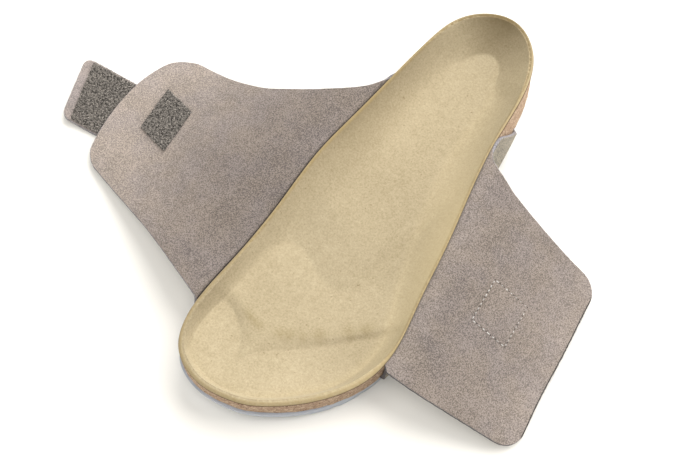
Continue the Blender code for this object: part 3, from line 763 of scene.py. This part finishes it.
def edge_x(flap, reach, y):
    """The x of a line at a reach from the fold; outer lines tilt, and bulge as a parabola."""
    mid = (flap["heel_edge"][-1] + flap["toe_edge"][-1]) / 2.0
    half = (flap["toe_edge"][-1] - flap["heel_edge"][-1]) / 2.0
    place = (y - mid) / half
    share = reach / flap["reach"][-1]
    stretch = flap["bulge"] * share * (1.0 - place ** 2) - flap["tilt"] * reach * place
    return fold_line(flap, y)[0] + flap["side"] * (reach + stretch)


def corner_cut(left, radius):
    """How far a round corner draws a side in, by what is left to the end: a quarter of a circle."""
    return radius * (1.0 - np.sqrt(1.0 - clamp(1.0 - left / radius) ** 2))


def flap_middle(flap):
    """Grid of the leather's middle, rows from the tucked margin outwards, columns along the foot.

    Up to the top of the fold a row stands at a distance outside the rim and climbs from the joint with
    the outsole; from there on it lies at a reach from the fold. One curve through the edge tables, by
    length from the joint, gives each row's two ends, and the outer corners are rounded off as arcs.
    Comes with the reach of each row, which is below zero on the wall.
    """
    v = np.linspace(0.0, 1.0, FLAP_COLUMNS)
    quarter = np.pi / 2.0
    first = TUCK_CORNER / WALL_HEIGHT
    tucked = np.linspace(-TUCK, -TUCK_CORNER, FLAP_ROWS["tucked"])
    bend = np.linspace(0.0, quarter, FLAP_ROWS["bend"])[1:]
    climb = np.linspace(first, 1.0, FLAP_ROWS["wall"])[1:]
    turn = np.linspace(0.0, quarter, FLAP_ROWS["fold"])[1:]
    radius = flap["radius"]
    near = flap["clearance"] + radius - CORK_CLEARANCE - FOLD_RADIUS
    around, over = TUCK_CORNER * bend / quarter, (FOLD_LENGTH + near) * turn / quarter
    stretches = (
        (tucked, 0.0, 0.0, 0.0),
        (TUCK_CORNER * (np.sin(bend) - 1.0), 0.0, TUCK_CORNER * (1.0 - np.cos(bend)), around),
        (0.0, climb, 0.0, WALL_HEIGHT * climb),
        (radius * (1.0 - np.cos(turn)), 1.0, radius * np.sin(turn), WALL_HEIGHT + over),
    )
    outset, up, lift, length = np.hstack([np.broadcast_arrays(*rows) for rows in stretches])
    full, widest = flap["reach"][-1], max(flap["corners"])
    arc = np.linspace(0.0, quarter, FLAP_ROWS["end"])[1:]
    reach = np.concatenate([
        np.linspace(near, full - widest, FLAP_ROWS["sheet"])[1:], full - widest * (1.0 - np.sin(arc))])
    table = np.concatenate([[0.0], flap["wall"][:, 0], WALL_HEIGHT + FOLD_LENGTH + flap["reach"]])
    length = np.concatenate([length, WALL_HEIGHT + FOLD_LENGTH + reach])
    ends = []
    for i, name, sign in ((0, "heel_edge", 1.0), (1, "toe_edge", -1.0)):
        cut = corner_cut(WALL_HEIGHT + FOLD_LENGTH + full - length, flap["corners"][i])
        edge = np.concatenate([[flap["seam"][i]], flap["wall"][:, 1 + i], flap[name]])
        ends.append(through(length, table, edge) + sign * cut)
    y = ends[0][:, None] + v * (ends[1] - ends[0])[:, None]
    seam = y[:len(outset)]
    x, rim_height, cork_out = beside(flap, seam)
    foot = spring(seam) + OUTSOLE_THICK + GAP + LEATHER / 2.0
    top = rim_height - flap["fold_drop"] - LEATHER / 2.0 - radius
    lean = flap["clearance"] + (1.0 - up[:, None]) * (CORK_CLEARANCE - flap["clearance"] + cork_out)
    stand = LEATHER / 2.0 + lean + outset[:, None]
    z = foot + up[:, None] * (top - foot) + lift[:, None]
    wall = np.stack([x + flap["side"] * stand, seam, z], 2)
    free = y[len(outset):]
    x = edge_x(flap, reach[:, None], free)
    sheet = np.stack([x, free, on_flap(flap, x, free)], 2)
    flat = sheet * np.array([1.0, 1.0, 0.0])
    ripple = sum(depth * lattice_noise(flat, pitch, RIPPLE_SEED) for pitch, depth in RIPPLES)
    sheet[..., 2] += smoothstep(reach / RIPPLE_START)[:, None] * ripple
    middle = np.concatenate([wall, sheet])
    return middle[:, ::flap["side"]], length - WALL_HEIGHT - FOLD_LENGTH


def wall_piece(name, middle, thickness, fray, reach):
    """Closed wall round a grid of middle points, with a soft square edge round its border.

    Each face lies half a thickness from the middle along its normals. The border loops follow the
    edge's profile, a share of the thickness up and out. The mark "cut" is 1 on the border, "under" is 1
    on the second face, and "reach" is that of each row.
    """
    rows, columns = middle.shape[:2]
    total = rows * columns
    index = np.arange(total).reshape(rows, columns)
    quads = np.stack([index[:-1, :-1], index[1:, :-1], index[1:, 1:], index[:-1, 1:]], 2).reshape(-1, 4)
    border = np.concatenate([index[0, :-1], index[:-1, -1], index[-1, :0:-1], index[:0:-1, 0]])
    normal = unit(np.cross(np.gradient(middle, axis=0), np.gradient(middle, axis=1))).reshape(-1, 3)
    flat = middle.reshape(-1, 3)
    rim_line = flat[border]
    along = np.roll(rim_line, -1, axis=0) - np.roll(rim_line, 1, axis=0)
    out = unit(np.cross(normal[border], along))
    ragged = fray * lattice_noise(rim_line, FRAY_PITCH, FRAY_SEED)[:, None] * out
    loops = [rim_line + thickness * (up * normal[border] + away * out) + ragged
             for up, away in EDGE_PROFILE]
    half = thickness / 2.0 * normal
    points = np.concatenate([flat + half, flat - half, *loops])
    edge_loops = 2 * total + np.arange(len(loops) * len(border)).reshape(len(loops), -1)
    chain = np.stack([border, *edge_loops, total + border])
    faces = np.concatenate([quads, total + quads[:, ::-1], bands(chain)])
    cut, below = np.zeros((2, len(points)))
    cut[2 * total:] = 1.0
    cut[border] = EDGE_WEAR
    below[total:2 * total] = 1.0
    below[2 * total:] = 0.5
    spread = np.repeat(reach, columns)
    spread = np.concatenate([spread, spread, np.tile(spread[border], len(loops))])
    return mesh_piece(name, points, faces, cut=cut, under=below, reach=spread)


def needle_holes(shade, patch):
    """1 at the needle holes round a four-sided seam: the nearest hole along each pair of sides."""
    x, y, _ = shade.place()
    inverse = np.linalg.inv(np.array([patch["out_edge"], patch["long_edge"]]).T)
    x, y = x - patch["centre"][0], y - patch["centre"][1]
    local = [float(row[0]) * x + float(row[1]) * y for row in inverse]
    sizes = [float(np.hypot(*patch[name])) for name in ("out_edge", "long_edge")]
    holes = None
    for i in (0, 1):
        count = round(sizes[1 - i] / STITCH_PITCH)
        off = (abs(local[i]) - 0.5) * sizes[i]
        along = (local[1 - i] + 0.5) * count + 0.5
        along = (along - along.math("FLOOR", along, 0.0) - 0.5) * (sizes[1 - i] / count)
        near = (off * off + along * along) ** 0.5
        inside = 1.0 - abs(local[1 - i]).ease(0.5, 0.53)
        here = (1.0 - near.ease(*HOLE_RADII)) * inside
        holes = here if holes is None else holes.math("MAXIMUM", holes, here)
    return holes


def suede_finish(name, light_rows, crease=None, edge_shade=None, cool=0.0, seam=None):
    """Taupe suede: warm and cool blotches where the nap lies differently and a fine fleck.

    The face takes painted light and shade by rows of reach and share. The cut edge is lavender grey,
    the outer face greenish. The crease beside the rim may take painted shade, the far edges painted
    shade as dark lines, the whole may be cooler, and a seam's needle holes may show.
    """
    block, shader, shade = finish(name, 0.95, 0.1, 0.12)

    def taupe(red, green, blue):
        return red - 2.0 * cool, green, blue + 6.0 * cool

    tone = 0.5 + shade.clouds((0.8, 20.0, 3.0), (0.4, 5.0, 2.0))
    tone = tone + 4.6 * (shade.noise(0.56, 2.0, stretch=(1.0, 1.4, 1.0)) - 0.5)
    # Painted light and shade, by rows of reach.
    lit = light_rows[0][1]
    for (start, before), (stop, after) in zip(light_rows, light_rows[1:]):
        lit = lit + (after - before) * shade.mark("reach").ease(start, stop)
    hue = shade.noise(16.0, 2.0).ease(0.3, 0.7)
    low = lit.mix(hue.mix(taupe(89, 82, 78), taupe(90, 82, 75)),
                   hue.mix(taupe(118, 110, 104), taupe(119, 110, 101)))
    high = lit.mix(hue.mix(taupe(128, 118, 112), taupe(130, 119, 110)),
                    hue.mix(taupe(160, 148, 140), taupe(161, 148, 137)))
    colour = tone.mix(low, high)
    speck = shade.noise(1.3, 2.0).ease(0.52, 0.64)
    outer = (0.7 * speck).mix(tone.mix((118, 110, 94), (152, 143, 126)), (66, 60, 50))
    colour = shade.mark("under").ease(0.6, 0.9).mix(colour, outer)
    edge = tone.mix((106, 102, 103), (144, 140, 141))
    colour = shade.mark("cut").ease(0.2, 0.8).mix(colour, edge)
    if crease:
        # Painted shade in the crease between the rim and the fold.
        crease_shade = (1.0 - shade.mark("reach").ease(*crease)) * (1.0 - shade.mark("under").ease(0.3, 0.6))
        colour = (0.8 * crease_shade).mix(colour, (36, 31, 29))
    if edge_shade:
        # Painted shade as dark lines along the far edge and the toe-side cut edge.
        outer_edge = shade.mark("reach").ease(*edge_shade["reach"])
        toe_edge = 0.7 * shade.mark("cut").ease(0.4, 0.9) * shade.place()[1].ease(*edge_shade["y"])
        colour = shade.math("MAXIMUM", outer_edge, toe_edge).mix(colour, (52, 48, 46))
    height = shade.noise(0.6, 3.0) + 0.5 * shade.noise(2.0, 2.0)
    if seam:
        holes = needle_holes(shade, seam)
        colour = (0.7 * holes).mix(colour, (40, 36, 34))
        height = height - 3.0 * holes
    paint(shader, colour, height, 0.2, 0.6)
    return block


# Painted light and shade by reach: the medial flap lighter towards its far edge, the lateral one with a
# painted highlight beside the fold and lighter again towards its edge.
MEDIAL_LIGHT_AND_SHADE = ((8.0, 0.0), (112.0, 1.0))
# Painted shade in the medial flap's crease beside the rim.
MEDIAL_CREASE_SHADE = (-4.0, -3.1)
LATERAL_LIGHT_AND_SHADE = ((0.0, 0.4), (12.0, 0.12), (45.0, 0.16), (80.0, 0.45))
# Painted shade as a dark line along the lateral flap's outer edge and its toe-side cut edge.
LATERAL_EDGE_SHADE = {"reach": (79.2, 79.7), "y": (20.0, 50.0)}
medial_suede = suede_finish("taupe_suede", MEDIAL_LIGHT_AND_SHADE, crease=MEDIAL_CREASE_SHADE)
lateral_suede = suede_finish("taupe_suede_sewn", LATERAL_LIGHT_AND_SHADE, edge_shade=LATERAL_EDGE_SHADE,
                             seam=LATERAL_PATCH)
flaps = (
    (MEDIAL, "medial_flap_suede", medial_suede, "medial_flap"),
    (LATERAL, "lateral_flap_suede", lateral_suede, "lateral_flap"),
)
for flap, name, block, node in flaps:
    middle, reach = flap_middle(flap)
    seat(wall_piece(name, middle, LEATHER, EDGE_FRAY, reach), block, "flap_suede", node)


# Closing tab: a short strap of the same suede, sewn under the outer edge of the medial flap. Its end is
# cut on a slant with round corners and curls a little up off the floor.
TAB_END = (188.8, 40.4)
TAB_WIDTH = 40.0
TAB_LENGTH = 66.0
TAB_TURN = np.radians(10.5)
TAB_SLANT = -0.19
TAB_CORNER = 4.6
TAB_CURL = 3.0
TAB_ROWS = 56
TAB_END_ROWS = 14
TAB_COLUMNS = 44
# Painted shade on the tab towards and under the flap's edge, lighter towards its free end.
TAB_SHADE = ((20.0, 0.4), (TAB_LENGTH, 0.85))
tab_edge = edge_x(MEDIAL, MEDIAL["reach"][-1], np.array(TAB_CROSSING_Y))


def tab_place(along, across):
    """Plan of a place on the tab, from its end's middle: along its length and across its width."""
    x = TAB_END[0] + along * np.cos(TAB_TURN) - across * np.sin(TAB_TURN)
    y = TAB_END[1] + along * np.sin(TAB_TURN) + across * np.cos(TAB_TURN)
    return x, y


def tab_height(x):
    """Height of the tab's middle: just under the flap, then curling up towards its end."""
    under_flap = on_flap(MEDIAL, np.minimum(x, tab_edge), np.full_like(x, TAB_CROSSING_Y))
    curl = TAB_CURL * smoothstep((x - tab_edge) / (TAB_END[0] - tab_edge))
    return under_flap - LEATHER - 3.0 * GAP + curl


def tab_middle():
    """Grid over the tab, rows from its sewn end outwards, narrowing over two arcs at its free end."""
    arc = np.linspace(0.0, np.pi / 2.0, TAB_END_ROWS)[1:]
    straight = np.linspace(TAB_LENGTH, TAB_CORNER, TAB_ROWS)
    left = np.concatenate([straight, TAB_CORNER * (1.0 - np.sin(arc))])[:, None]
    width = TAB_WIDTH - 2.0 * corner_cut(left, TAB_CORNER)
    across = np.linspace(-0.5, 0.5, TAB_COLUMNS)[None, :] * width
    x, y = tab_place(TAB_SLANT * across - left, across)
    return np.stack([x, y, tab_height(x)], 2), TAB_LENGTH - left[:, 0]


middle, reach = tab_middle()
tab = wall_piece("closing_tab_suede", middle, LEATHER, EDGE_FRAY, reach)
seat(tab, suede_finish("taupe_suede_tab", TAB_SHADE, cool=0.4), "flap_suede", "closing_tab")


# Hook-and-loop tape: dark woven backing with a pile of small loops. One piece covers the tab, a square
# lies on the medial flap and its mate is sewn under the lateral flap.
TAPE_BACKING = 0.8
TAPE_LIFT = 0.1
TAPE_FRAY = 0.15
TAPE_HALF = 0.485
TAPE_GRID = (24, 28)
LOOP_PITCH = 0.85
LOOP_JITTER = 0.9
LOOP_HEIGHT = (0.5, 1.1)
LOOP_SPAN = (0.5, 1.3)
LOOP_LEAN = 0.3
LOOP_SUNK = 0.15
LOOP_RADIUS = 0.13
LOOP_SHAPE = np.array([0.0, 1.0, 1.0, 1.0, 1.0, 0.0])
LOOP_SIDES = 3
TAB_MARGIN = 5.5
TAB_TAPE_BARE = 1.0
TAB_TRIES = 6
MEDIAL_PATCH = {"centre": (129.5, 24.3), "out_edge": (24.1, -5.5), "long_edge": (-4.3, 30.2)}


def patch_place(flap, patch, a, b):
    """Middle of the leather under a place on a four-sided patch, a and b from -0.5 to 0.5."""
    sides = zip(patch["centre"], patch["out_edge"], patch["long_edge"])
    x, y = [centre + a * out + b * along for centre, out, along in sides]
    return np.stack([x, y, on_flap(flap, x, y)], -1)


def tab_tape_place(a, b):
    """Middle of the tab under a place on its tape: a runs from the flap's edge to the bare margin.

    What shows of the tab past the flap is stepped to where its lines cross the flap's edge.
    """
    across = b * (TAB_WIDTH - TAB_TAPE_BARE)
    showing = np.zeros_like(across)
    for _ in range(TAB_TRIES):
        x, y = tab_place(TAB_SLANT * across - showing, across)
        showing = showing + x - edge_x(MEDIAL, MEDIAL["reach"][-1], y) - 3.0 * GAP
    x, y = tab_place(TAB_SLANT * across - showing + (a + 0.5) * (showing - TAB_MARGIN), across)
    return np.stack([x, y, tab_height(x)], -1)


def thread_piece(name, path, across, thick, sides, rng):
    """Thin tubes along paths, each of a random shade that the mark "strand" holds.

    A ring of a tube is its path's point plus thick times the cosine of a turn across the path and the
    sine of it along what is square to both.
    """
    over = np.cross(unit(np.gradient(path, axis=1)), across)
    turn = 2.0 * np.pi * np.arange(sides)[:, None] / sides
    circle = np.cos(turn) * across[:, :, None] + np.sin(turn) * over[:, :, None]
    tube = path[:, :, None] + thick[:, None, None] * circle
    index = np.arange(tube[..., 0].size).reshape(tube.shape[:3])
    strand = np.repeat(rng.uniform(0.0, 1.0, len(path)), index[0].size)
    return mesh_piece(name, tube.reshape(-1, 3), bands(index), strand=strand)


def tape_piece(name, place, lengths, side, seed):
    """Backing and pile of a tape on a surface given by two parameters; side is 1 above, -1 below.

    The backing is a thin wall that follows the surface. Each loop is a thin three-sided tube along half
    a sine wave, set on a jittered grid, with a random size, heading and shade.
    """
    a, b = np.meshgrid(*[np.linspace(-TAPE_HALF, TAPE_HALF, n) for n in TAPE_GRID], indexing="ij")
    lift = np.array([0.0, 0.0, side * (LEATHER / 2.0 + TAPE_LIFT + TAPE_BACKING / 2.0)])
    backing = wall_piece(name, place(a, b) + lift, TAPE_BACKING, TAPE_FRAY, np.zeros(len(a)))
    rng = np.random.default_rng(seed)
    count = [int(length / LOOP_PITCH) for length in lengths]
    a, b = np.meshgrid(*[(np.arange(n) + 0.5) / n - 0.5 for n in count], indexing="ij")
    a = (a + rng.uniform(-LOOP_JITTER, LOOP_JITTER, a.shape) / count[0]).ravel()
    b = (b + rng.uniform(-LOOP_JITTER, LOOP_JITTER, b.shape) / count[1]).ravel()
    foot = place(a, b) + np.array([0.0, 0.0, side * (LEATHER / 2.0 + TAPE_BACKING)])
    heading = rng.uniform(0.0, 2.0 * np.pi, len(foot))
    span = rng.uniform(*LOOP_SPAN, len(foot))
    tall = rng.uniform(*LOOP_HEIGHT, len(foot))
    lean = rng.normal(0.0, LOOP_LEAN, (len(foot), 2))
    t = np.linspace(0.0, 1.0, len(LOOP_SHAPE))
    run = np.stack([np.cos(heading), np.sin(heading), 0.0 * heading], 1)
    rise = np.sin(np.pi * t)
    path = foot[:, None] + (span[:, None] * (t - 0.5))[..., None] * run[:, None]
    path[..., 2] += side * (tall[:, None] * rise - LOOP_SUNK)
    path[..., :2] += lean[:, None] * rise[:, None]
    across = np.stack([-run[:, 1], run[:, 0], run[:, 2]], 1)[:, None] + 0.0 * path
    pile = thread_piece(name + "_pile", path, across, LOOP_RADIUS * LOOP_SHAPE, LOOP_SIDES, rng)
    return backing, pile


def tape_finish(name, strands):
    """Dark olive-grey yarn; on the pile each strand has its own shade."""
    block, shader, shade = finish(name, 0.9, 0.15, 0.1)
    clump = shade.noise(1.2, 2.0).ease(0.32, 0.68)
    tone = 0.3 * clump
    if strands:
        tone = 0.35 * shade.mark("strand") + 0.65 * clump
    paint(shader, tone.mix((42, 39, 36), (192, 183, 172)))
    return block


backing_cloth = tape_finish("tape_backing", False)
pile_yarn = tape_finish("tape_pile", True)
tapes = (
    ("tab_tape", tab_tape_place, (34.0, 39.0), 1, 21, "tab_patch"),
    ("medial_tape", partial(patch_place, MEDIAL, MEDIAL_PATCH), (24.7, 29.5), 1, 22, "medial_patch"),
    ("lateral_tape", partial(patch_place, LATERAL, LATERAL_PATCH), (21.9, 27.0), -1, 23, "lateral_patch"),
)
for name, place, lengths, side, seed, node in tapes:
    backing, pile = tape_piece(name, place, lengths, side, seed)
    seat(backing, backing_cloth, "hook_and_loop", node)
    seat(pile, pile_yarn, "hook_and_loop")


# Stitches: white thread that holds the lateral tape, seen on the flap's upper face as a square of short
# stitches between needle holes.
STITCH_LENGTH = 1.45
STITCH_SPREAD = (0.7, 1.15)
STITCH_SKEW = 0.15
STITCH_ARCH = 1.6
STITCH_SUNK = 0.75
STITCH_POINTS = 9
STITCH_SEED = 31
THREAD_RADIUS = 0.3
THREAD_SIDES = 8
THREAD_END_POWER = 6


def stitch_piece(name, flap, patch):
    """Capsules along the four sides of a patch, each a low arch of thread that dips at both ends."""
    corners = np.array([(-0.5, -0.5), (0.5, -0.5), (0.5, 0.5), (-0.5, 0.5)])
    rng = np.random.default_rng(STITCH_SEED)
    starts, ends = [], []
    for a, b in zip(corners, np.roll(corners, -1, axis=0)):
        edge = patch["out_edge"] if a[1] == b[1] else patch["long_edge"]
        count = int(round(np.hypot(*edge) / STITCH_PITCH))
        half = 0.5 * STITCH_LENGTH / np.hypot(*edge) * rng.uniform(*STITCH_SPREAD, count)
        middle = (np.arange(count) + 0.5) / count
        starts.append(a + (middle - half)[:, None] * (b - a))
        ends.append(a + (middle + half)[:, None] * (b - a))
    starts, ends = np.concatenate(starts), np.concatenate(ends)
    t = np.linspace(0.0, 1.0, STITCH_POINTS)
    place = starts[:, None] + t[:, None] * (ends - starts)[:, None]
    path = patch_place(flap, patch, place[..., 0], place[..., 1])
    path[..., :2] += STITCH_SKEW * rng.normal(0.0, 1.0, (len(path), 1, 2)) * (t[:, None] - 0.5)
    path[..., 2] += LEATHER / 2.0 + THREAD_RADIUS * (STITCH_ARCH * np.sin(np.pi * t) - STITCH_SUNK)
    across = unit(np.cross(np.gradient(path, axis=1), upward))
    thick = THREAD_RADIUS * np.sqrt(1.0 - (2.0 * t - 1.0) ** THREAD_END_POWER)
    return thread_piece(name, path, across, thick, THREAD_SIDES, rng)


thread, shader, shade = finish("white_thread", 0.7, 0.3)
tone = 0.4 * shade.noise(0.5, 2.0) + 0.6 * shade.mark("strand")
paint(shader, tone.mix((126, 121, 115), (205, 202, 196)))
stitches = stitch_piece("lateral_stitches", LATERAL, LATERAL_PATCH)
seat(stitches, thread, "hook_and_loop")


# Studio: a plain pale floor under a broad soft light from behind the heel, and the camera at the
# photograph's angle, high over the toe and the outer side.
TARGET = np.array([2.0, 9.95, 0.0])
CAMERA_HEADING = np.array([-0.6293, 0.7771])
CAMERA_ELEVATION = np.radians(66.0)
CAMERA_DISTANCE = 1100.0
FOCAL_PIXELS = 1903.0
IMAGE_WIDTH = 700.0
SENSOR_WIDTH = 36.0
FAR_CLIP = 100.0
FLOOR_HALF = 6000.0
FLOOR_COLOUR = (0.8, 0.775, 0.722, 1.0)
KEY = {"toward": np.array([-0.12, -0.83, 0.54]), "spread": np.radians(85.0), "strength": 6.5}
FILL = {"toward": np.array([0.03, 0.45, 0.89]), "spread": np.radians(70.0), "strength": 2.5}
LAMP_DISTANCE = 2000.0
AMBIENT = 0.16
AMBIENT_COLOUR = (1.0, 0.985, 0.965, 1.0)


def aim(piece, place, target):
    """Put a camera or a light at a place so that it looks at a target, its top side up."""
    piece.location = Vector(place * MM)
    piece.rotation_euler = Vector((target - place) * MM).to_track_quat("-Z", "Y").to_euler()
    bpy.context.scene.collection.objects.link(piece)


corner = FLOOR_HALF * np.array([(-1.0, -1.0, 0.0), (1.0, -1.0, 0.0), (1.0, 1.0, 0.0), (-1.0, 1.0, 0.0)])
ground = mesh_piece("floor", corner, np.array([[0, 1, 2, 3]]))
paper, shader, _ = finish("pale_floor", 0.9, 0.1)
shader["Base Color"].default_value = FLOOR_COLOUR
ground.data.materials.append(paper)

for name, lamp in (("key", KEY), ("fill", FILL)):
    light = bpy.data.lights.new(name, "SUN")
    light.angle = lamp["spread"]
    light.energy = lamp["strength"]
    aim(bpy.data.objects.new(name, light), TARGET + LAMP_DISTANCE * lamp["toward"], TARGET)

world = bpy.data.worlds.new("studio")
world.use_nodes = True
background = world.node_tree.nodes["Background"].inputs
background["Color"].default_value = AMBIENT_COLOUR
background["Strength"].default_value = AMBIENT
bpy.context.scene.world = world
bpy.context.scene.view_settings.view_transform = "Standard"

lens = bpy.data.cameras.new("camera")
lens.sensor_width = SENSOR_WIDTH
lens.lens = FOCAL_PIXELS * SENSOR_WIDTH / IMAGE_WIDTH
lens.clip_end = FAR_CLIP
camera = bpy.data.objects.new("camera", lens)
back = np.append(np.cos(CAMERA_ELEVATION) * CAMERA_HEADING, np.sin(CAMERA_ELEVATION))
aim(camera, TARGET + CAMERA_DISTANCE * back, TARGET)
bpy.context.scene.camera = camera
